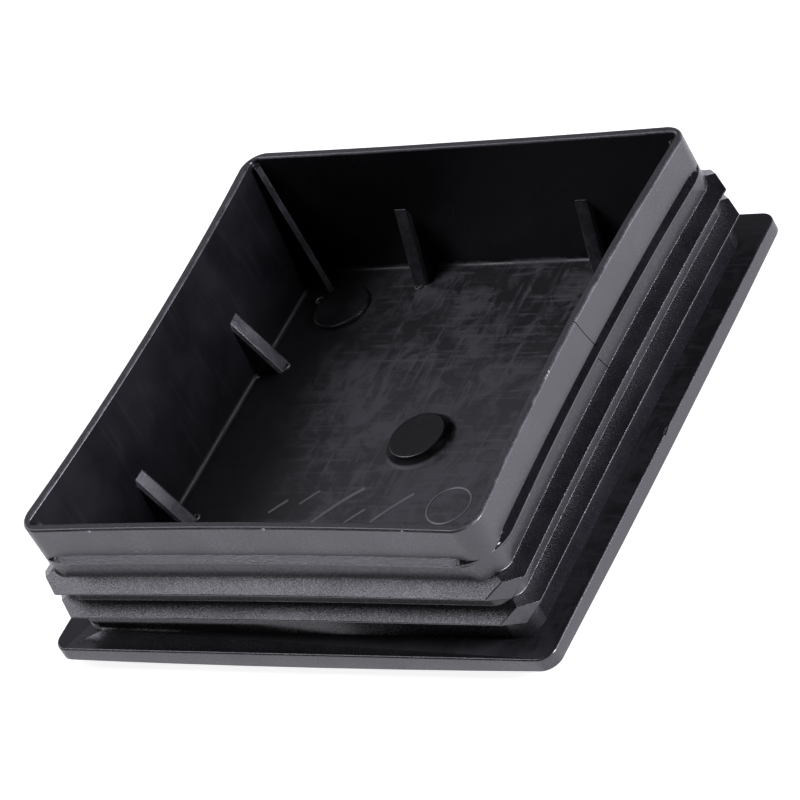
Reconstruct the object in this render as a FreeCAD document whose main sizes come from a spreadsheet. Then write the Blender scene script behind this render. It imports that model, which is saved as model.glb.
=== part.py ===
import FreeCAD, Part
import math
import os
import Sketcher

# Square tube end cap, moulded in one piece.
# The cap lies on its head, open side up, with the tube's axis along +Z.
# Lengths are in millimetres. Near is -Y, far is +Y, left is -X and right is +X.

os.makedirs("parts", exist_ok=True)
doc = FreeCAD.newDocument("tube_end_cap")

sheet = doc.addObject("Spreadsheet::Sheet", "Sizes")
sizes = {
    # head, which covers the end of the tube
    "head_side": 100.0,
    "head_corner_radius": 2.9,
    "head_thickness": 4.95,
    "head_edge_round": 0.35,
    "head_bevel_height": 1.57,
    "head_bevel_width": 2.4,
    "crown_radius": 2200.0,
    "rest_radius": 31.0,
    # plug, which goes into the tube, and the ledge that the tube's end seats on
    "ledge_width": 4.45,
    "plug_corner_radius": 4.2,
    "plug_height": 24.1,
    "wall_thickness": 1.6,
    "cup_corner_radius": 1.2,
    "cup_foot_inset": 0.4,
    "cup_foot_round": 0.8,
    "floor_thickness": 2.15,
    "rim_bevel": 0.3,
    # inward bow of each wall at the middle of the rim
    "bow_right": 1.78,
    "bow_far": 0.39,
    "bow_left": 1.77,
    "bow_near": 0.75,
    # barbed ribs around the plug
    "lowest_rib_rise": 5.95,
    "rib_pitch": 5.65,
    "rib_reach": 2.7,
    "rib_top_rise": 1.4,
    "rib_under_drop": 2.3,
    "rib_corner_cut": 5.2,
    "rib_tip_land": 0.25,
    "lead_rib_reach": 1.05,
    "lead_rib_top_rise": 0.7,
    "lead_rib_under_drop": 1.1,
    "lead_rib_corner_radius": 7.9,
    # gussets between the walls and the floor
    "gusset_spacing": 37.6,
    "gusset_thickness": 3.4,
    "gusset_height": 13.4,
    "gusset_foot": 5.3,
    "gusset_crest_bevel": 0.5,
    # webs in the corners of the cup
    "web_thickness": 1.1,
    "web_foot": 7.6,
    "web_head": 0.9,
    "web_drop": 1.1,
    # round pads on the floor
    "centre_pad_diameter": 10.8,
    "centre_pad_height": 1.8,
    "centre_pad_skirt": 1.3,
    "corner_pad_diameter": 11.0,
    "corner_pad_height": 0.8,
    "corner_pad_inset": 10.25,
    "pad_edge_bevel": 0.3,
}
for row, (name, value) in enumerate(sizes.items(), start=1):
    sheet.set(f"A{row}", name)
    sheet.set(f"B{row}", str(value))
    sheet.setAlias(f"B{row}", name)
doc.recompute()

# the four sides, in turn from the right, and the bow of each wall
side_bows = ["Sizes.bow_right", "Sizes.bow_far", "Sizes.bow_left", "Sizes.bow_near"]
side_count = len(side_bows)
quarter_turn = 360 / side_count

# heights above the face that the cap lies on, and half widths, that several features share
rim_height = "(Sizes.head_thickness + Sizes.plug_height)"
bevel_foot = f"({rim_height} - Sizes.rim_bevel)"
plug_half = "(Sizes.head_side / 2 - Sizes.ledge_width)"
rim_cup_half = f"({plug_half} - Sizes.wall_thickness)"
floor_cup_half = f"({rim_cup_half} - Sizes.cup_foot_inset)"
wall_middle = f"({plug_half} - Sizes.wall_thickness / 2)"
floor_middle = "(Sizes.floor_thickness / 2)"

corner_pad_place = f"({floor_cup_half} - Sizes.corner_pad_inset)"
third_rib = "(Sizes.head_thickness + Sizes.lowest_rib_rise)"
second_rib = f"({third_rib} + Sizes.rib_pitch)"
lead_rib = f"({second_rib} + Sizes.rib_pitch)"

body = doc.addObject("PartDesign::Body", "EndCap")
body.Label = "end_cap"
origin_items = {item.Role: item for item in body.Origin.OriginFeatures}
# a sketch's own origin and axes, by the numbers that constraints know them by
origin_index = (-1, 1)
across_index, upright_index = (-1,), (-2,)


def value_of(expression):
    return float(sheet.evalExpression(expression))


def new_sketch(name, plane, offset="0", turn=0.0):
    sketch = body.newObject("Sketcher::SketchObject", name)
    sketch.AttachmentSupport = [(origin_items[plane], "")]
    sketch.MapMode = "FlatFace"
    spin = FreeCAD.Rotation(FreeCAD.Vector(0, 1, 0), turn)
    sketch.AttachmentOffset = FreeCAD.Placement(FreeCAD.Vector(), spin)
    sketch.setExpression("AttachmentOffset.Base.z", offset)
    return sketch


def drive(sketch, kind, places, expression):
    # a dimension that follows the sheet
    rule = Sketcher.Constraint(kind, *places, value_of(expression))
    index = sketch.addConstraint(rule)
    sketch.setExpression(f"Constraints[{index}]", expression)


def join(sketch, first, second):
    sketch.addConstraint(Sketcher.Constraint("Coincident", *first, *second))


def place(sketch, point, x_place, y_place):
    # puts a point at its distances from the sketch's origin
    ways = (("DistanceX", upright_index, x_place), ("DistanceY", across_index, y_place))
    for kind, axis, distance in ways:
        amount = value_of(distance)
        if amount == 0:
            sketch.addConstraint(Sketcher.Constraint("PointOnObject", *point, *axis))
        elif amount > 0:
            drive(sketch, kind, (*origin_index, *point), distance)
        else:
            drive(sketch, kind, (*point, *origin_index), f"-({distance})")


def draw_polygon(sketch, corners):
    points = [FreeCAD.Vector(value_of(x), value_of(y), 0) for x, y in corners]
    for start, end in zip(points, points[1:] + points[:1]):
        sketch.addGeometry(Part.LineSegment(start, end))
    for index, (x_place, y_place) in enumerate(corners):
        before = (index - 1) % len(corners)
        join(sketch, (index, 1), (before, 2))
        place(sketch, (index, 1), x_place, y_place)


def draw_side(sketch, turn, half, chord, bow):
    # one side of a square outline, bowed inwards or straight
    reach = value_of(half)
    span = value_of(chord)
    spin = FreeCAD.Rotation(FreeCAD.Vector(0, 0, 1), turn)
    if bow is None:
        start = spin.multVec(FreeCAD.Vector(reach, span, 0))
        end = spin.multVec(FreeCAD.Vector(reach, -span, 0))
        return sketch.addGeometry(Part.LineSegment(start, end))
    depth = value_of(bow)
    radius = (span ** 2 + depth ** 2) / (2 * depth)
    centre = spin.multVec(FreeCAD.Vector(reach - depth + radius, 0, 0))
    middle = math.radians(turn) + math.pi
    swing = math.asin(span / radius)
    circle = Part.Circle(centre, FreeCAD.Vector(0, 0, 1), radius)
    side = sketch.addGeometry(Part.ArcOfCircle(circle, middle - swing, middle + swing))
    drive(sketch, "Radius", (side,), f"(({chord}) ^ 2 + ({bow}) ^ 2) / (2 * ({bow}))")
    return side


def draw_outline(sketch, half, corner_radius=None, bow_share=None):
    # square outline about the axis, its corners rounded or sharp and its sides bowed or straight
    chord = half if corner_radius is None else f"({half} - {corner_radius})"
    sides = []
    for number, rim_bow in enumerate(side_bows):
        bow = None if bow_share is None else f"({rim_bow} * {bow_share})"
        sides.append(draw_side(sketch, quarter_turn * number, half, chord, bow))
    corners = []
    for number in range(side_count):
        following = sides[(number + 1) % side_count]
        if corner_radius is None:
            join(sketch, (sides[number], 1), (following, 2))
            corners.append((sides[number], 1))
            continue
        radius = value_of(corner_radius)
        spin = FreeCAD.Rotation(FreeCAD.Vector(0, 0, 1), quarter_turn * number)
        centre = spin.multVec(FreeCAD.Vector(value_of(chord), value_of(chord), 0))
        circle = Part.Circle(centre, FreeCAD.Vector(0, 0, 1), radius)
        start, end = math.radians(quarter_turn * number), math.radians(quarter_turn * (number + 1))
        corner = sketch.addGeometry(Part.ArcOfCircle(circle, start, end))
        join(sketch, (sides[number], 1), (corner, 1))
        join(sketch, (following, 2), (corner, 2))
        levels = ("Horizontal", "Vertical") if number % 2 == 0 else ("Vertical", "Horizontal")
        for tip, level in zip((1, 2), levels):
            sketch.addConstraint(Sketcher.Constraint(level, corner, 3, corner, tip))
        if number == 0:
            drive(sketch, "Radius", (corner,), corner_radius)
        else:
            sketch.addConstraint(Sketcher.Constraint("Equal", corners[0][0], corner))
        corners.append((corner, 3))
    place(sketch, corners[0], chord, chord)
    for corner, mirror in zip(corners[1:], (upright_index, origin_index, across_index)):
        sketch.addConstraint(Sketcher.Constraint("Symmetric", *corners[0], *corner, *mirror))


def outline_at(name, height, half, corner_radius=None, bow_share=None):
    sketch = new_sketch(name, "XY_Plane", height)
    draw_outline(sketch, half, corner_radius, bow_share)
    return sketch


def bow_share_at(height):
    # the walls are straight at the head, and bow more towards the rim
    return f"(({height} - Sizes.head_thickness) / Sizes.plug_height)"


def add_pad(name, sketch, length, both_ways=False):
    pad = body.newObject("PartDesign::Pad", name)
    pad.Profile = sketch
    pad.SideType = "Symmetric" if both_ways else "One side"
    pad.setExpression("Length", length)
    return pad


def add_loft(name, kind, sections):
    loft = body.newObject(f"PartDesign::{kind}", name)
    loft.Profile = sections[0]
    loft.Sections = sections[1:]
    loft.Ruled = True
    doc.recompute()
    return loft


def add_around(name, originals):
    # one copy for each side of the square
    pattern = body.newObject("PartDesign::PolarPattern", name)
    pattern.Originals = originals
    pattern.Axis = (origin_items["Z_Axis"], [""])
    pattern.Angle = 360
    pattern.Occurrences = side_count
    body.Tip = pattern
    doc.recompute()
    return pattern


def edge_names(wanted):
    # the body's edges whose middle and ends pass the test
    names = []
    for number, edge in enumerate(body.Tip.Shape.Edges, start=1):
        ends = [vertex.Point for vertex in edge.Vertexes]
        middle = edge.valueAt((edge.FirstParameter + edge.LastParameter) / 2)
        if all(wanted(point) for point in ends + [middle]):
            names.append(f"Edge{number}")
    return names


def dress_edges(name, kind, size, wanted):
    # rounds or bevels the edges that pass the test
    doc.recompute()
    before = body.Tip
    names = edge_names(wanted)
    dressing = body.newObject(f"PartDesign::{kind}", name)
    dressing.Base = (before, names)
    dressing.setExpression("Radius" if kind == "Fillet" else "Size", size)
    doc.recompute()
    return dressing


def near(value, target, slack=0.02):
    return abs(value - target) < slack


def head():
    outline = outline_at("HeadOutline", "0", "(Sizes.head_side / 2)", "Sizes.head_corner_radius")
    add_pad("Head", outline, "Sizes.head_thickness")
    # the outer face is slightly crowned, with a flat round area in the middle
    crown = new_sketch("CrownSection", "XZ_Plane")
    outer = value_of("Sizes.head_side")
    rest = value_of("Sizes.rest_radius")
    radius = value_of("Sizes.crown_radius")
    centre = FreeCAD.Vector(0, math.sqrt(radius ** 2 - rest ** 2), 0)
    start = math.asin(rest / radius) - math.pi / 2
    end = math.asin(outer / radius) - math.pi / 2
    circle = Part.Circle(centre, FreeCAD.Vector(0, 0, 1), radius)
    arc = crown.addGeometry(Part.ArcOfCircle(circle, start, end))
    lip = centre + FreeCAD.Vector(radius * math.cos(end), radius * math.sin(end), 0)
    low_outer = FreeCAD.Vector(outer, -1, 0)
    low_inner = FreeCAD.Vector(rest, -1, 0)
    edge = crown.addGeometry(Part.LineSegment(lip, low_outer))
    bottom = crown.addGeometry(Part.LineSegment(low_outer, low_inner))
    inner = crown.addGeometry(Part.LineSegment(low_inner, FreeCAD.Vector(rest, 0, 0)))
    join(crown, (arc, 2), (edge, 1))
    join(crown, (edge, 2), (bottom, 1))
    join(crown, (bottom, 2), (inner, 1))
    join(crown, (inner, 2), (arc, 1))
    crown.addConstraint(Sketcher.Constraint("PointOnObject", arc, 3, *upright_index))
    crown.addConstraint(Sketcher.Constraint("Vertical", edge))
    crown.addConstraint(Sketcher.Constraint("Horizontal", bottom))
    crown.addConstraint(Sketcher.Constraint("Vertical", inner))
    drive(crown, "Radius", (arc,), "Sizes.crown_radius")
    place(crown, (arc, 1), "Sizes.rest_radius", "0")
    place(crown, (bottom, 1), "Sizes.head_side", "-Sizes.floor_thickness")
    groove = body.newObject("PartDesign::Groove", "Crown")
    groove.Profile = crown
    groove.ReferenceAxis = (crown, ["V_Axis"])
    groove.Angle = 360
    doc.recompute()
    # bevel around the outer face, up to the upright edge of the head
    half = value_of("Sizes.head_side / 2")
    top = value_of("Sizes.head_thickness")

    def at_outer_face(point):
        return max(abs(point.x), abs(point.y)) > half - 1 and point.z < top / 2

    bevel = dress_edges("HeadBevel", "Chamfer", "Sizes.head_bevel_height", at_outer_face)
    bevel.ChamferType = "Two distances"
    bevel.setExpression("Size2", "Sizes.head_bevel_width")
    dress_edges("HeadEdge", "Fillet", "Sizes.head_edge_round", lambda point: near(point.z, top))


def plug():
    corner = "Sizes.plug_corner_radius"
    top_half = f"({plug_half} - Sizes.rim_bevel)"
    top_corner = f"({corner} - Sizes.rim_bevel)"
    sections = [
        outline_at("PlugFoot", "Sizes.head_thickness", plug_half, corner),
        outline_at("PlugShoulder", bevel_foot, plug_half, corner, bow_share_at(bevel_foot)),
        outline_at("PlugRim", rim_height, top_half, top_corner, "1"),
    ]
    add_loft("Plug", "AdditiveLoft", sections)


def rib(name, tip, reach, top_rise, under_drop, corner=None):
    # a wedge section all round, with its roots inside the wall
    share = f"(({reach} + Sizes.wall_thickness / 2) / {reach})"
    root_corner = None if corner is None else f"({corner} - {reach} - Sizes.wall_thickness / 2)"
    high = f"({tip} + Sizes.rib_tip_land / 2)"
    low = f"({tip} - Sizes.rib_tip_land / 2)"
    levels = {
        "UnderRoot": (f"({low} - {under_drop} * {share})", wall_middle, root_corner),
        "TipLow": (low, f"({plug_half} + {reach})", corner),
        "TipHigh": (high, f"({plug_half} + {reach})", corner),
        "TopRoot": (f"({high} + {top_rise} * {share})", wall_middle, root_corner),
    }
    sections = []
    for level, (height, half, radius) in levels.items():
        sections.append(outline_at(name + level, height, half, radius, bow_share_at(height)))
    add_loft(name, "AdditiveLoft", sections)


def cut_rib_corners():
    # upright planes take the corners off the ribs above the ledge
    tip = f"({plug_half} + Sizes.rib_reach)"
    outside = "(Sizes.head_side / 2 + Sizes.rib_reach)"
    plan = new_sketch("RibCornerPlan", "XY_Plane", "Sizes.head_thickness")
    near_leg = f"(2 * {tip} - Sizes.rib_corner_cut - {outside})"
    draw_polygon(plan, [(outside, outside), (near_leg, outside), (outside, near_leg)])
    pocket = body.newObject("PartDesign::Pocket", "RibCorner")
    pocket.Profile = plan
    pocket.Reversed = True
    pocket.setExpression("Length", "Sizes.plug_height")
    add_around("RibCorners", [pocket])


def cup():
    corner = "Sizes.cup_corner_radius"
    mouth_half = f"({rim_cup_half} + Sizes.rim_bevel)"
    mouth_corner = f"({corner} + Sizes.rim_bevel)"
    sections = [
        outline_at("CupMouth", rim_height, mouth_half, mouth_corner, "1"),
        outline_at("CupThroat", bevel_foot, rim_cup_half, corner, bow_share_at(bevel_foot)),
        outline_at("CupFloor", "Sizes.floor_thickness", floor_cup_half, corner),
    ]
    add_loft("Cup", "SubtractiveLoft", sections)
    floor = value_of("Sizes.floor_thickness")
    dress_edges("CupFoot", "Fillet", "Sizes.cup_foot_round", lambda point: near(point.z, floor))


def gussets():
    foot = f"({floor_cup_half} - Sizes.gusset_foot)"
    top = "(Sizes.floor_thickness + Sizes.gusset_height)"
    pads = []
    for name, direction in (("GussetNear", "1"), ("GussetFar", "-1")):
        section = new_sketch(name + "Section", "XZ_Plane", f"{direction} * Sizes.gusset_spacing / 2")
        draw_polygon(section, [
            (wall_middle, top),
            (floor_cup_half, top),
            (foot, "Sizes.floor_thickness"),
            (foot, floor_middle),
            (wall_middle, floor_middle),
        ])
        pads.append(add_pad(name, section, "Sizes.gusset_thickness", both_ways=True))
        doc.recompute()
    add_around("Gussets", pads)
    reach = value_of(floor_cup_half)
    length = value_of("Sizes.gusset_foot")
    floor = value_of("Sizes.floor_thickness")
    height = value_of("Sizes.gusset_height")
    spacing = value_of("Sizes.gusset_spacing")
    thickness = value_of("Sizes.gusset_thickness")

    def at_crest(point):
        across_wall, along_wall = sorted((abs(point.x), abs(point.y)), reverse=True)
        crest = reach - length * (1 - (point.z - floor) / height)
        at_flank = near(abs(along_wall - spacing / 2), thickness / 2)
        return at_flank and near(across_wall, crest)

    dress_edges("GussetCrests", "Chamfer", "Sizes.gusset_crest_bevel", at_crest)


def corner_webs():
    # thin webs on the diagonals, from just under the rim down to the floor
    corner = f"(({floor_cup_half} - Sizes.cup_corner_radius) * sqrt(2) + Sizes.cup_corner_radius)"
    hold = f"({corner} + Sizes.wall_thickness / 2)"
    top = f"({rim_height} - Sizes.web_drop)"
    foot = f"({corner} - Sizes.web_foot)"
    section = new_sketch("WebSection", "XZ_Plane", "0", 45.0)
    draw_polygon(section, [
        (hold, top),
        (f"({corner} - Sizes.web_head)", top),
        (foot, "Sizes.floor_thickness"),
        (foot, floor_middle),
        (hold, floor_middle),
    ])
    web = add_pad("CornerWeb", section, "Sizes.web_thickness", both_ways=True)
    doc.recompute()
    add_around("CornerWebs", [web])


def round_pads():
    places = {"CornerPad": corner_pad_place, "CentrePad": "0"}
    names = {"CornerPad": "Sizes.corner_pad", "CentrePad": "Sizes.centre_pad"}
    for name, distance in places.items():
        diameter = f"{names[name]}_diameter"
        plan = new_sketch(name + "Plan", "XY_Plane", floor_middle)
        centre = FreeCAD.Vector(value_of(distance), value_of(distance), 0)
        circle = Part.Circle(centre, FreeCAD.Vector(0, 0, 1), value_of(diameter) / 2)
        ring = plan.addGeometry(circle)
        drive(plan, "Diameter", (ring,), diameter)
        place(plan, (ring, 3), distance, distance)
        pad = add_pad(name, plan, f"{names[name]}_height + Sizes.floor_thickness / 2")
        doc.recompute()
        if name == "CornerPad":
            add_around("CornerPads", [pad])
    floor = value_of("Sizes.floor_thickness")
    centre_top = floor + value_of("Sizes.centre_pad_height")
    corner_top = floor + value_of("Sizes.corner_pad_height")
    centre_reach = value_of("Sizes.centre_pad_diameter")
    corner_reach = value_of(f"{corner_pad_place} + Sizes.corner_pad_diameter / 2")

    def at_centre_foot(point):
        return near(point.z, floor) and math.hypot(point.x, point.y) < centre_reach

    def at_centre_top(point):
        return near(point.z, centre_top) and math.hypot(point.x, point.y) < centre_reach

    def at_corner_top(point):
        return near(point.z, corner_top) and max(abs(point.x), abs(point.y)) < corner_reach + 0.1

    dress_edges("CentrePadFoot", "Chamfer", "Sizes.centre_pad_skirt", at_centre_foot)
    dress_edges("CentrePadEdge", "Chamfer", "Sizes.pad_edge_bevel", at_centre_top)
    dress_edges("CornerPadEdge", "Chamfer", "Sizes.pad_edge_bevel", at_corner_top)


def check_and_write():
    doc.recompute()
    for item in doc.Objects:
        if "Invalid" in item.State or "Error" in item.State:
            raise RuntimeError(f"{item.Name} failed: {item.State}")
    shape = body.Shape
    if shape.isNull() or not shape.isValid() or len(shape.Solids) != 1:
        raise RuntimeError("the cap is not one valid solid")
    shape.exportStep(f"parts/{body.Label}.step")
    print(body.Label, "volume", round(shape.Volume, 1), "size", shape.BoundBox)


head()
plug()
rib("SecondRib", second_rib, "Sizes.rib_reach", "Sizes.rib_top_rise", "Sizes.rib_under_drop")
rib("ThirdRib", third_rib, "Sizes.rib_reach", "Sizes.rib_top_rise", "Sizes.rib_under_drop")
cut_rib_corners()
lead_rib_shape = ["Sizes.lead_rib_reach", "Sizes.lead_rib_top_rise", "Sizes.lead_rib_under_drop"]
rib("LeadRib", lead_rib, *lead_rib_shape, "Sizes.lead_rib_corner_radius")
cup()
gussets()
corner_webs()
round_pads()
check_and_write()
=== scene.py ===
import bpy
import math
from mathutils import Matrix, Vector


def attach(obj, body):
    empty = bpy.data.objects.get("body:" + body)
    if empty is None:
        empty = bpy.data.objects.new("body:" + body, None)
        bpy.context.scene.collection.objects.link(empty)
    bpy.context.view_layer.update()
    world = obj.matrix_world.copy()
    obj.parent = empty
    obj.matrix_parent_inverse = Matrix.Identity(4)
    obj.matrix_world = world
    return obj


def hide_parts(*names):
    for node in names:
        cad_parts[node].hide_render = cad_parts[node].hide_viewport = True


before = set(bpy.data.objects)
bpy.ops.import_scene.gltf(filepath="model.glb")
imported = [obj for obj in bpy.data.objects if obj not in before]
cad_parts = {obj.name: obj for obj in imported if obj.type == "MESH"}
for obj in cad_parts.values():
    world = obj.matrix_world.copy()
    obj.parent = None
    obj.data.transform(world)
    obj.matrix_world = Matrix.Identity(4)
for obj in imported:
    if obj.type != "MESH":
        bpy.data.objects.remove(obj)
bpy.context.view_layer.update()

mm = 0.001
scene = bpy.context.scene
print("frame loaded")


# working in edit mode as by hand

def pickOnly(piece):
    bpy.ops.object.select_all(action="DESELECT")
    piece.select_set(True)
    bpy.context.view_layer.objects.active = piece


def openForEdit(piece, kind):
    pickOnly(piece)
    bpy.ops.object.mode_set(mode="EDIT")
    bpy.ops.mesh.select_mode(type=kind)
    bpy.ops.mesh.select_all(action="DESELECT")


def openWhole(piece, kind="VERT"):
    openForEdit(piece, kind)
    bpy.ops.mesh.select_all(action="SELECT")


def openAsChosen(piece, kind):
    # into edit mode with what is already selected
    pickOnly(piece)
    bpy.ops.object.mode_set(mode="EDIT")
    bpy.ops.mesh.select_mode(type=kind)


def closeEdit():
    bpy.ops.object.mode_set(mode="OBJECT")


def letGo(piece):
    # vertices left chosen would choose their faces and edges again
    for vertex in piece.data.vertices:
        vertex.select = False


def settle(piece, name):
    # place, turn and size go into the mesh
    pickOnly(piece)
    bpy.ops.object.transform_apply(location=True, rotation=True, scale=True)
    piece.name = name
    piece.data.name = name


def coat(piece, material):
    piece.data.materials.clear()
    piece.data.materials.append(material)


# plastic finishes

plasticLook = {
    "deep": (0.0050, 0.0050, 0.0064, 1),
    "paler": (0.0150, 0.0147, 0.0175, 1),
    "specular": 1.0,
}


def link(tree, start, end):
    tree.links.new(start, end)


def addNode(tree, kind, **settings):
    node = tree.nodes.new(kind)
    for key, value in settings.items():
        if key in node.inputs:
            node.inputs[key].default_value = value
        else:
            setattr(node, key, value)
    return node


def addNoise(tree, place, size, detail=3.0, roughness=0.55, stretch=(1, 1, 1), distortion=0.0):
    # size is the width of the pattern's grains, in mm
    scale = 1 / (size * mm)
    mapping = addNode(tree, "ShaderNodeMapping", Scale=tuple(scale * s for s in stretch))
    noise = addNode(
        tree, "ShaderNodeTexNoise", Scale=1.0, Detail=detail, Roughness=roughness, Distortion=distortion)
    link(tree, place, mapping.inputs["Vector"])
    link(tree, mapping.outputs["Vector"], noise.inputs["Vector"])
    return noise.outputs["Fac"]


def remap(tree, value, low, high, newLow, newHigh, smooth=False):
    ranger = addNode(tree, "ShaderNodeMapRange")
    ranger.interpolation_type = "SMOOTHSTEP" if smooth else "LINEAR"
    for key, number in (("From Min", low), ("From Max", high), ("To Min", newLow), ("To Max", newHigh)):
        ranger.inputs[key].default_value = number
    link(tree, value, ranger.inputs["Value"])
    return ranger.outputs["Result"]


def combine(tree, way, first, second):
    node = addNode(tree, "ShaderNodeMath", operation=way)
    for slot, value in zip((0, 1), (first, second)):
        if isinstance(value, (int, float)):
            node.inputs[slot].default_value = value
        else:
            link(tree, value, node.inputs[slot])
    return node.outputs[0]


def startPlastic(name, look):
    material = bpy.data.materials.new(name)
    material.use_nodes = True
    tree = material.node_tree
    shader = tree.nodes["Principled BSDF"]
    shader.inputs["Specular IOR Level"].default_value = look.get("specular", plasticLook["specular"])
    place = addNode(tree, "ShaderNodeTexCoord").outputs["Object"]
    return material, tree, shader, place


def paint(tree, shader, amount, look=plasticLook):
    # from the deep tone to the paler one as amount goes from 0 to 1; the paler tone is wear on most
    # finishes and painted highlight on the crests
    mix = addNode(tree, "ShaderNodeMix", data_type="RGBA")
    mix.inputs["A"].default_value = look["deep"]
    mix.inputs["B"].default_value = look["paler"]
    link(tree, amount, mix.inputs["Factor"])
    link(tree, mix.outputs["Result"], shader.inputs["Base Color"])


def roughen(tree, shader, height, distance):
    bump = addNode(tree, "ShaderNodeBump", Distance=distance, Strength=1.0)
    link(tree, height, bump.inputs["Height"])
    link(tree, bump.outputs["Normal"], shader.inputs["Normal"])


# grain and speck are widths in mm, depth is that of the bump
sparkLooks = {
    # head, plug wall and flange
    "sparkedPlastic": {"grain": 0.30, "speck": 0.36, "depth": 0.034 * mm, "roughness": (0.27, 0.38)},
    # the ribs' upper slopes, coarser
    "slopePlastic": {"grain": 0.28, "speck": 0.30, "depth": 0.072 * mm, "roughness": (0.20, 0.32)},
    # the lead rib's slope, polished by the tube's edge
    "leadPlastic": {"grain": 0.26, "speck": 0.30, "depth": 0.055 * mm, "roughness": (0.12, 0.20)},
    # the grooves between the ribs and the flange's ledge, smooth, with lowered specular as painted shade
    "grooveShadePlastic": {
        "grain": 0.30, "speck": 0.50, "depth": 0.008 * mm, "roughness": (0.20, 0.26), "specular": 0.6,
    },
}
# width of the broad changes in gloss and wear, in mm
sparkCloud = 9.0


def makeSparked(name):
    # spark-eroded mould texture on the outside
    look = sparkLooks[name]
    material, tree, shader, place = startPlastic(name, look)
    grain = addNoise(tree, place, look["grain"], detail=2.0, roughness=0.65)
    cloud = addNoise(tree, place, sparkCloud, detail=3.0)
    speck = addNoise(tree, place, look["speck"], detail=1.0, roughness=0.5)
    rough = remap(tree, cloud, 0.3, 0.7, *look["roughness"])
    glint = remap(tree, speck, 0.4, 0.62, 0.05, -0.05)
    link(tree, combine(tree, "ADD", rough, glint), shader.inputs["Roughness"])
    rubbed = remap(tree, cloud, 0.35, 0.75, 0.0, 0.5)
    pale = remap(tree, speck, 0.52, 0.66, 0.0, 0.9)
    paint(tree, shader, combine(tree, "ADD", rubbed, pale))
    roughen(tree, shader, grain, look["depth"])
    return material


wallLook = {
    "deep": (0.0050, 0.0052, 0.0066, 1),
    "paler": (0.0130, 0.0128, 0.0155, 1),
    "grain": 0.5,
    "cloud": 14.0,
    # marks drawn along the pull of the mould: width, and the pattern's scale along X, Y and Z
    "drag": 1.1,
    "dragStretch": (1.0, 1.0, 0.07),
    "depth": 0.006 * mm,
    "roughness": (0.24, 0.36),
}


def makeWall():
    # smoother moulded walls inside
    look = wallLook
    material, tree, shader, place = startPlastic("wallPlastic", look)
    grain = addNoise(tree, place, look["grain"], detail=2.0)
    cloud = addNoise(tree, place, look["cloud"], detail=3.0)
    drag = addNoise(tree, place, look["drag"], detail=2.0, stretch=look["dragStretch"])
    link(tree, remap(tree, cloud, 0.3, 0.7, *look["roughness"]), shader.inputs["Roughness"])
    rubbed = remap(tree, cloud, 0.4, 0.8, 0.0, 0.6)
    drawn = remap(tree, drag, 0.55, 0.7, 0.0, 0.5)
    paint(tree, shader, combine(tree, "ADD", rubbed, drawn), look)
    roughen(tree, shader, grain, look["depth"])
    return material


floorLook = {
    "deep": (0.0040, 0.0042, 0.0056, 1),
    "paler": (0.0900, 0.0890, 0.0990, 1),
    # painted shadow of the left wall: the paler tone and the scuffs fade in between these places along X,
    # leaving the left side dark and smooth
    "paintedShadowSide": (-33 * mm, -17 * mm),
    "roughness": (0.44, 0.66),
    "depth": 0.03 * mm,
}
padLook = {
    "deep": (0.0040, 0.0042, 0.0056, 1),
    "paler": (0.0200, 0.0197, 0.0225, 1),
    # beyond the left wall, so the pads get no painted shadow
    "paintedShadowSide": (-90 * mm, -80 * mm),
    "roughness": (0.56, 0.66),
    "depth": 0.02 * mm,
    "specular": 0.45,
}
# patterns on the floor and pads, with their widths in mm
scuffForm = {
    "broad": 17.0,
    "cloud": 5.0,
    "across": 0.8,
    "along": 0.9,
    # scale of the pattern along a scratch
    "stretch": 0.06,
    # how far the edge of the painted shadow wavers, and the share of wear and paler tone left within it
    "waver": 5 * mm,
    "paintedShadowShare": 0.12,
}


def makeScuffed(name, look):
    # scuffed, mottled floor of the cup and its pads, with fine scratches both ways, and on the floor a
    # painted shadow along the left wall
    form = scuffForm
    material, tree, shader, place = startPlastic(name, look)
    broad = addNoise(tree, place, form["broad"], detail=3.0, roughness=0.55, distortion=0.4)
    cloud = addNoise(tree, place, form["cloud"], detail=5.0, roughness=0.68, distortion=0.8)
    across = addNoise(tree, place, form["across"], detail=2.0, stretch=(form["stretch"], 1.0, 1.0))
    along = addNoise(tree, place, form["along"], detail=2.0, stretch=(1.0, form["stretch"], 1.0))
    lines = combine(tree, "MAXIMUM", across, along)
    scuffs = remap(tree, lines, 0.54, 0.70, 0.0, 0.75)
    broadPart = remap(tree, broad, 0.40, 0.60, -0.2, 0.40)
    cloudPart = remap(tree, cloud, 0.43, 0.60, -0.2, 0.60)
    mottle = combine(tree, "ADD", broadPart, cloudPart)
    apart = addNode(tree, "ShaderNodeSeparateXYZ")
    link(tree, place, apart.inputs[0])
    waver = remap(tree, broad, 0.3, 0.7, -form["waver"], form["waver"])
    wavy = combine(tree, "ADD", apart.outputs["X"], waver)
    # painted shadow: the floor's paler tone and scuffs are cut down near the left wall
    outsidePaintedShadow = remap(tree, wavy, *look["paintedShadowSide"], form["paintedShadowShare"], 1.0, smooth=True)
    paler = combine(tree, "MINIMUM", combine(tree, "ADD", mottle, scuffs), 1.0)
    paler = combine(tree, "MULTIPLY", paler, outsidePaintedShadow)
    link(tree, remap(tree, paler, 0.0, 1.0, *look["roughness"]), shader.inputs["Roughness"])
    paint(tree, shader, paler, look)
    height = combine(tree, "ADD", cloud, combine(tree, "MULTIPLY", lines, 0.5))
    roughen(tree, shader, height, look["depth"])
    return material


# both tones of the crests are painted highlight, far paler than the plastic elsewhere
crestHighlightLook = {
    "deep": (0.0260, 0.0260, 0.0300, 1),
    "paler": (0.1000, 0.0990, 0.1080, 1),
    "grain": 0.45,
    "cloud": 3.5,
    "roughness": (0.30, 0.46),
    "depth": 0.04 * mm,
}


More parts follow.
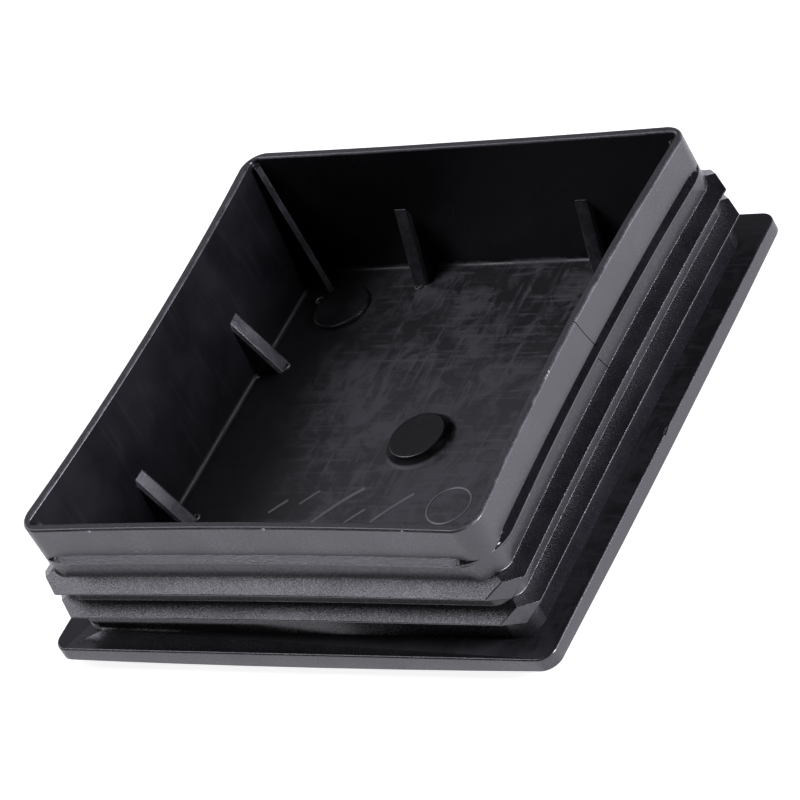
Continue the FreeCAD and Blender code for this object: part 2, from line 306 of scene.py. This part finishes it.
def makeCrestHighlight():
    # crests of the gussets and webs and the rim's rounded edges, toned pale as painted highlight, with
    # random cloud and grain in that tone
    look = crestHighlightLook
    material, tree, shader, place = startPlastic("crestHighlightPlastic", look)
    grain = addNoise(tree, place, look["grain"], detail=2.0, roughness=0.7)
    cloud = addNoise(tree, place, look["cloud"], detail=3.0)
    link(tree, remap(tree, cloud, 0.3, 0.7, *look["roughness"]), shader.inputs["Roughness"])
    rubbed = remap(tree, cloud, 0.4, 0.7, 0.0, 0.5)
    pale = remap(tree, grain, 0.5, 0.7, 0.0, 0.6)
    paint(tree, shader, combine(tree, "ADD", rubbed, pale), look)
    roughen(tree, shader, grain, look["depth"])
    return material


# the cap, from the CAD solid's own mesh, merged and with its edges rounded

capForm = {
    "mergeDistance": 0.002 * mm,
    "flatWithin": math.radians(0.3),
    "sharpFrom": math.radians(18),
    "roundWidth": 0.4 * mm,
    "edgeWeight": 0.3,
    "roundSteps": 3,
    # edges bent less than this shade smoothly
    "smoothWithin": math.radians(38),
    # between these heights, the lead rib's edges bent more than this stay crisp
    "crispFrom": math.radians(9),
    "crispZone": (19.6 * mm, 24.6 * mm),
}
# which edges the mould and wear have rounded: heights and half the plug's width, in mm
roundedZones = {
    "ribs": (5.4, 19.9),
    "rim": 28.4,
    "insideFrom": 4.6,
    "plugHalf": 43.6,
}


def fromMiddle(spot):
    # distance from the cap's axis, measured squarely
    return max(abs(spot.x), abs(spot.y))


def isRounded(start, end):
    # the two lower ribs, the crests of gussets and webs, and the rim
    low, high = roundedZones["ribs"]
    heights = (start.z / mm, end.z / mm)
    outside = min(fromMiddle(start), fromMiddle(end)) > roundedZones["plugHalf"] * mm
    if min(heights) > roundedZones["rim"]:
        return True
    if outside:
        return low < min(heights) and max(heights) < high
    return min(heights) > roundedZones["insideFrom"] and max(heights) < roundedZones["rim"]


def makeCap():
    pickOnly(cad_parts["end_cap"])
    bpy.ops.object.duplicate()
    cap = bpy.context.object
    cap.name = "cap"
    cap.data.name = "cap"
    openWhole(cap)
    bpy.ops.mesh.remove_doubles(threshold=capForm["mergeDistance"])
    bpy.ops.mesh.dissolve_limited(angle_limit=capForm["flatWithin"])
    bpy.ops.mesh.select_mode(type="EDGE")
    bpy.ops.mesh.select_all(action="DESELECT")
    bpy.ops.mesh.edges_select_sharp(sharpness=capForm["sharpFrom"])
    closeEdit()
    for edge in cap.data.edges:
        ends = [cap.data.vertices[index].co for index in edge.vertices]
        edge.select = edge.select and isRounded(*ends)
    letGo(cap)
    openAsChosen(cap, "EDGE")
    bpy.ops.transform.edge_bevelweight(value=capForm["edgeWeight"])
    closeEdit()
    bevel = cap.modifiers.new("edges", "BEVEL")
    bevel.width = capForm["roundWidth"]
    bevel.segments = capForm["roundSteps"]
    bevel.limit_method = "WEIGHT"
    bevel.use_clamp_overlap = False
    bpy.ops.object.modifier_apply(modifier="edges")
    return cap


def shadeCap(cap):
    # smooth, but for the lead rib's crisp edges; flat faces keep their own shade
    pickOnly(cap)
    bpy.ops.object.shade_smooth_by_angle(angle=capForm["smoothWithin"])
    openForEdit(cap, "EDGE")
    bpy.ops.mesh.edges_select_sharp(sharpness=capForm["crispFrom"])
    closeEdit()
    low, high = capForm["crispZone"]
    half = roundedZones["plugHalf"] * mm
    for edge in cap.data.edges:
        ends = [cap.data.vertices[index].co for index in edge.vertices]
        edge.select = edge.select and all(low < end.z < high and fromMiddle(end) > half for end in ends)
    letGo(cap)
    openAsChosen(cap, "EDGE")
    bpy.ops.mesh.mark_sharp()
    closeEdit()
    even = cap.modifiers.new("evenShade", "WEIGHTED_NORMAL")
    even.keep_sharp = True
    bpy.ops.object.modifier_apply(modifier="evenShade")


# where each finish goes on the cap: heights and distances from the middle, in mm
finishZones = {
    "inner": 44.3,
    "outer": 43.3,
    "floorFrom": 2.0,
    "padFrom": 2.6,
    "wallFrom": 3.0,
    "crestFrom": 4.3,
    "ledgeFrom": 4.0,
    "ribs": (5.2, 24.4),
    "grooveTo": 20.9,
    "leadFrom": 21.5,
    "cornerFrom": 39.0,
    "rimFrom": 28.55,
    # how far a face looks up: 0 for upright, 1 for flat
    "level": 0.97,
    "rimTilt": 0.25,
    "crestTilt": 0.12,
    "slopeTilt": 0.3,
    "uprightTilt": 0.1,
}


def finishFor(x, y, z, tilt):
    zones = finishZones
    low, high = zones["ribs"]
    out = max(abs(x), abs(y))
    level = tilt > zones["level"]
    tilted = tilt < zones["level"]
    # the rim's rounded edges and the tilted crests inside get the painted highlight
    if z > zones["rimFrom"]:
        return "crestHighlightPlastic" if tilted and tilt > zones["rimTilt"] else "sparkedPlastic"
    if out < zones["inner"] and z > zones["floorFrom"]:
        if z > zones["crestFrom"] and tilted and tilt > zones["crestTilt"]:
            return "crestHighlightPlastic"
        if level and z > zones["padFrom"]:
            return "padPlastic"
        return "wallPlastic" if z > zones["wallFrom"] else "scuffedPlastic"
    if low < z < high and out > zones["outer"]:
        if tilted and tilt > zones["slopeTilt"]:
            return "leadPlastic" if z > zones["leadFrom"] else "slopePlastic"
        atCorner = min(abs(x), abs(y)) > zones["cornerFrom"]
        # upright strips between the ribs, away from the corners, get the lowered specular of painted
        # shade
        inPaintedShade = tilt < zones["uprightTilt"] and z < zones["grooveTo"] and not atCorner
        return "grooveShadePlastic" if inPaintedShade else "sparkedPlastic"
    # the flange's ledge gets the same painted shade
    if level and z > zones["ledgeFrom"]:
        return "grooveShadePlastic"
    return "sparkedPlastic"


def dressCap(cap):
    scuffed = makeScuffed("scuffedPlastic", floorLook)
    pads = makeScuffed("padPlastic", padLook)
    sparked, slope, lead, groove = [makeSparked(name) for name in sparkLooks]
    cap.data.materials.clear()
    for material in (sparked, makeWall(), scuffed, makeCrestHighlight(), pads, slope, lead, groove):
        cap.data.materials.append(material)
    slots = {material.name: number for number, material in enumerate(cap.data.materials)}
    for face in cap.data.polygons:
        spot = [value / mm for value in face.center]
        face.material_index = slots[finishFor(*spot, face.normal.z)]


# hairline crack in the right wall and small nicks, cut into the cap; lengths in mm

damage = {
    "crackWidth": 0.16,
    "crackDepth": 0.45,
    "nickTurn": math.radians(8),
    # bevel on a cutter's edges, as a share of its thinnest side
    "bevelShare": 0.2,
    # each run: places of its ends along Y and Z, and how far out the surface is there
    "crackRuns": [
        ((-0.25, 29.4), (0.12, 25.9), 43.85),
        ((0.10, 26.1), (0.95, 21.7), 44.15),
        ((-0.45, 21.5), (0.50, 17.8), 44.45),
    ],
    # middle and size of each nick
    "nicks": [
        ((49.95, -0.9, 4.9), (0.7, 1.7, 0.5)),
        ((48.3, -0.2, 4.97), (0.35, 1.1, 0.14)),
    ],
}


def makeCutter(middle, size, turn):
    # a small block with bevelled edges
    bpy.ops.mesh.primitive_cube_add(size=1, location=[v * mm for v in middle], rotation=(turn, 0, 0))
    cutter = bpy.context.object
    cutter.scale = [v * mm for v in size]
    settle(cutter, "cutter")
    openWhole(cutter, "EDGE")
    bpy.ops.mesh.bevel(offset=min(size) * damage["bevelShare"] * mm, segments=1, affect="EDGES")
    closeEdit()
    return cutter


def cutAway(cap, cutter):
    pickOnly(cap)
    cut = cap.modifiers.new("cut", "BOOLEAN")
    cut.operation = "DIFFERENCE"
    cut.solver = "EXACT"
    cut.object = cutter
    bpy.ops.object.modifier_apply(modifier="cut")
    bpy.data.objects.remove(cutter)


def damageCap(cap):
    for (y1, z1), (y2, z2), out in damage["crackRuns"]:
        length = math.hypot(y2 - y1, z2 - z1)
        turn = math.atan2(z2 - z1, y2 - y1)
        middle = (out, (y1 + y2) / 2, (z1 + z2) / 2)
        size = (2 * damage["crackDepth"], length, damage["crackWidth"])
        cutAway(cap, makeCutter(middle, size, turn))
    for middle, size in damage["nicks"]:
        cutAway(cap, makeCutter(middle, size, damage["nickTurn"]))


# tool marks and small rings that the mould left, as low rounded ridges, toned pale as painted highlight

ridgeForm = {
    "sides": 10,
    "stepLength": 0.5,
    "fewestSteps": 4,
    "mergeDistance": 0.001 * mm,
    "smoothWithin": math.radians(50),
}
fullTurn = 360


def makeRidge(name, centre, radius, start, sweep, width, height, base):
    # an arc about centre in the plane at base; lengths in mm, angles in degrees from +X
    whole = abs(sweep) >= fullTurn
    fill = "NOTHING" if whole else "NGON"
    upright = (math.pi / 2, 0, 0)
    bpy.ops.mesh.primitive_circle_add(vertices=ridgeForm["sides"], fill_type=fill, rotation=upright)
    ridge = bpy.context.object
    ridge.scale = (width / 2 * mm, height * mm, 1)
    settle(ridge, name)
    openWhole(ridge)
    bpy.ops.transform.translate(value=(radius * mm, 0, 0))
    closeEdit()
    ridge.rotation_euler = (0, 0, math.radians(start))
    settle(ridge, name)
    openWhole(ridge)
    turn = math.radians(sweep)
    steps = max(ridgeForm["fewestSteps"], int(radius * abs(turn) / ridgeForm["stepLength"]))
    bpy.ops.mesh.spin(steps=steps, angle=-turn, center=(0, 0, 0), axis=(0, 0, 1))
    bpy.ops.mesh.select_all(action="SELECT")
    bpy.ops.transform.translate(value=(centre[0] * mm, centre[1] * mm, base * mm))
    closeEdit()
    if whole:
        openWhole(ridge)
        bpy.ops.mesh.remove_doubles(threshold=ridgeForm["mergeDistance"])
        closeEdit()
    openWhole(ridge)
    bpy.ops.mesh.normals_make_consistent(inside=False)
    closeEdit()
    bpy.ops.object.shade_smooth_by_angle(angle=ridgeForm["smoothWithin"])
    return ridge


def joinPieces(pieces, name):
    pickOnly(pieces[0])
    for piece in pieces[1:]:
        piece.select_set(True)
    bpy.ops.object.join()
    joined = bpy.context.object
    settle(joined, name)
    return joined


# height of the cup's floor, where the middles of the ridges lie
cupFloor = 2.15
# parallel shallow arcs that a cutter left in the mould, all with one bend and direction
toolArcs = {
    "radius": 34.0,
    "direction": 48.0,
    # middle, length, width and height
    "arcs": [
        ((-22.4, -14.7), 4.0, 0.65, 0.12),
        ((-10.2, -14.3), 10.8, 0.80, 0.14),
        ((1.4, -15.0), 8.8, 0.75, 0.13),
        ((-5.6, -17.2), 5.0, 0.50, 0.07),
        ((-16.8, -12.6), 4.2, 0.50, 0.07),
    ],
}
# centre, radius, start, sweep, width and height, of the round mark of an ejector pin and of tiny rings;
# the rings at the feet of the web and gussets are toned pale as painted glints
pinMark = ((12.7, -14.6), 4.05, 0, fullTurn, 0.40, 0.10)
ringMarks = [
    ((-39.35, 35.45), 0.75, 0, fullTurn, 0.36, 0.30),
    ((-38.3, 18.9), 0.70, 0, fullTurn, 0.36, 0.34),
    ((-38.6, -17.4), 0.70, 0, fullTurn, 0.36, 0.34),
    ((-19.0, 38.1), 0.70, 0, fullTurn, 0.36, 0.30),
]


def arcRows():
    # the same values for each arc
    radius, direction = toolArcs["radius"], toolArcs["direction"]
    side = math.radians(direction + 90)
    rows = []
    for (x, y), length, width, height in toolArcs["arcs"]:
        centre = (x - radius * math.cos(side), y - radius * math.sin(side))
        sweep = math.degrees(length / radius)
        rows.append((centre, radius, direction + 90 - sweep / 2, sweep, width, height))
    return rows


def makeMarks(material):
    for name, rows in (("toolMarks", arcRows() + [pinMark]), ("footRings", ringMarks)):
        ridges = [makeRidge(name + str(number), *row, cupFloor) for number, row in enumerate(rows)]
        marks = joinPieces(ridges, name)
        coat(marks, material)
        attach(marks, "root")


# burrs and flash left on the rim

burrs = {
    # turn about X and Y, and how much more each is turned about Z than the one before
    "turn": (0.3, 0.2),
    "turnStep": 0.1,
    "smoothness": 0.8,
    "fractal": 0.00012,
    "firstSeed": 3,
    "smoothWithin": math.radians(60),
    # middle and size of each small lump, in mm
    "lumps": [
        ((-29.8, -45.42, 28.80), (0.55, 0.16, 0.22)),
        ((5.4, -44.86, 28.78), (0.62, 0.18, 0.24)),
        ((32.4, -45.18, 28.79), (0.40, 0.16, 0.20)),
        ((43.74, -11.2, 28.80), (0.18, 0.55, 0.24)),
        ((43.78, -12.0, 28.76), (0.16, 0.40, 0.28)),
        ((43.80, -12.6, 28.80), (0.14, 0.30, 0.20)),
    ],
}


def makeBurrs(material):
    lumps = []
    for number, (middle, size) in enumerate(burrs["lumps"]):
        turn = (*burrs["turn"], burrs["turnStep"] * number)
        bpy.ops.mesh.primitive_cube_add(size=1, location=[v * mm for v in middle], rotation=turn)
        lump = bpy.context.object
        lump.scale = [v * mm for v in size]
        settle(lump, "burr" + str(number))
        openWhole(lump, "FACE")
        bpy.ops.mesh.subdivide(
            number_cuts=1, smoothness=burrs["smoothness"], fractal=burrs["fractal"],
            seed=number + burrs["firstSeed"])
        closeEdit()
        bpy.ops.object.shade_smooth_by_angle(angle=burrs["smoothWithin"])
        lumps.append(lump)
    burrPiece = joinPieces(lumps, "rimBurrs")
    coat(burrPiece, material)
    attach(burrPiece, "root")


# plain plastic of the ridges and rings, toned pale as painted highlight, and the paler one of the burrs
ridgeHighlightLook = {"tone": (0.24, 0.237, 0.25, 1), "roughness": (0.28, 0.42)}
paleLook = {"tone": (0.30, 0.30, 0.31, 1), "roughness": (0.44, 0.58)}
plainForm = {"cloud": 1.2, "depth": 0.02 * mm}


def makePlain(name, look):
    material, tree, shader, place = startPlastic(name, look)
    shader.inputs["Base Color"].default_value = look["tone"]
    cloud = addNoise(tree, place, plainForm["cloud"], detail=3.0)
    link(tree, remap(tree, cloud, 0.3, 0.7, *look["roughness"]), shader.inputs["Roughness"])
    roughen(tree, shader, cloud, plainForm["depth"])
    return material


cap = makeCap()
damageCap(cap)
shadeCap(cap)
dressCap(cap)
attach(cap, "root")
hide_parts("end_cap")
print("cap made,", len(cap.data.polygons), "faces")
makeMarks(makePlain("ridgeHighlightPlastic", ridgeHighlightLook))
makeBurrs(makePlain("palePlastic", paleLook))
print("marks made")

# studio: pale floor, soft lamps, camera

studio = {
    "floorSize": 8.0,
    "floorDrop": 0.02 * mm,
    "floorRoughness": 0.9,
    "floorTone": (0.8, 0.8, 0.8, 1),
    "floorGlow": 0.86,
    # colour of the floor's glow as the plastic mirrors it
    "glowTint": (0.93, 0.91, 1.0, 1),
    "airGlow": 0.025,
    "lampTint": (0.90, 0.88, 1.0),
}


def makeFloor():
    bpy.ops.mesh.primitive_plane_add(size=studio["floorSize"], location=(0, 0, -studio["floorDrop"]))
    floor = bpy.context.object
    settle(floor, "floor")
    material = bpy.data.materials.new("floorPaint")
    material.use_nodes = True
    tree = material.node_tree
    shader = tree.nodes["Principled BSDF"]
    shader.inputs["Base Color"].default_value = studio["floorTone"]
    shader.inputs["Roughness"].default_value = studio["floorRoughness"]
    rays = addNode(tree, "ShaderNodeLightPath")
    seen = combine(tree, "MAXIMUM", rays.outputs["Is Camera Ray"], rays.outputs["Is Glossy Ray"])
    glow = addNode(tree, "ShaderNodeEmission")
    link(tree, combine(tree, "MULTIPLY", seen, studio["floorGlow"]), glow.inputs["Strength"])
    tint = addNode(tree, "ShaderNodeMix", data_type="RGBA")
    tint.inputs["A"].default_value = (1, 1, 1, 1)
    tint.inputs["B"].default_value = studio["glowTint"]
    link(tree, rays.outputs["Is Glossy Ray"], tint.inputs["Factor"])
    link(tree, tint.outputs["Result"], glow.inputs["Color"])
    both = addNode(tree, "ShaderNodeAddShader")
    link(tree, shader.outputs[0], both.inputs[0])
    link(tree, glow.outputs[0], both.inputs[1])
    link(tree, both.outputs[0], tree.nodes["Material Output"].inputs["Surface"])
    floor.data.materials.append(material)


def makeAir():
    world = bpy.data.worlds.new("air")
    scene.world = world
    world.use_nodes = True
    tree = world.node_tree
    seen = addNode(tree, "ShaderNodeLightPath").outputs["Is Camera Ray"]
    link(tree, remap(tree, seen, 0, 1, studio["airGlow"], 1), tree.nodes["Background"].inputs["Strength"])
    tree.nodes["Background"].inputs["Color"].default_value = (1, 1, 1, 1)


# azimuth counts from the near side (-Y) towards the right (+X); lengths in metres, power in watts
lamps = {
    "keyLeft": {"azimuth": 283, "elevation": 53, "distance": 1.2, "size": 0.7, "power": 4.0},
    "highLeft": {"azimuth": 283, "elevation": 70, "distance": 1.2, "size": 0.7, "power": 1.0},
    "farLeft": {"azimuth": 226, "elevation": 35, "distance": 1.2, "size": 0.8, "power": 0.78},
    "sideLeft": {"azimuth": 265, "elevation": 18, "distance": 1.2, "size": 0.6, "power": 3.1},
    "rightLow": {"azimuth": 100, "elevation": 12, "distance": 1.2, "size": 0.5, "power": 23.5},
}


def addLamp(name, azimuth, elevation, distance, size, power):
    turn, rise = math.radians(azimuth), math.radians(elevation)
    away = Vector((math.sin(turn) * math.cos(rise), -math.cos(turn) * math.cos(rise), math.sin(rise)))
    bpy.ops.object.light_add(type="AREA", location=away * distance)
    lamp = bpy.context.object
    lamp.name = name
    lamp.rotation_euler = away.to_track_quat("Z", "Y").to_euler()
    lamp.data.shape = "DISK"
    lamp.data.size = size
    lamp.data.energy = power
    lamp.data.color = studio["lampTint"]


# the camera fitted to the photo: place in metres, turn in degrees, lens and sensor in millimetres
view = {
    "place": (0.405886, -0.398086, 0.40767),
    "turn": (50.799, 25.2818, 26.2862),
    "lens": 187.948,
    "sensor": 36,
    "clip": (0.05, 20),
}


def addCamera():
    bpy.ops.object.camera_add(location=view["place"], rotation=[math.radians(v) for v in view["turn"]])
    camera = bpy.context.object
    camera.data.lens = view["lens"]
    camera.data.sensor_width = view["sensor"]
    camera.data.clip_start, camera.data.clip_end = view["clip"]
    scene.camera = camera


makeFloor()
makeAir()
for lampName, settings in lamps.items():
    addLamp(lampName, **settings)
addCamera()
scene.view_settings.view_transform = "Standard"
print("studio ready")
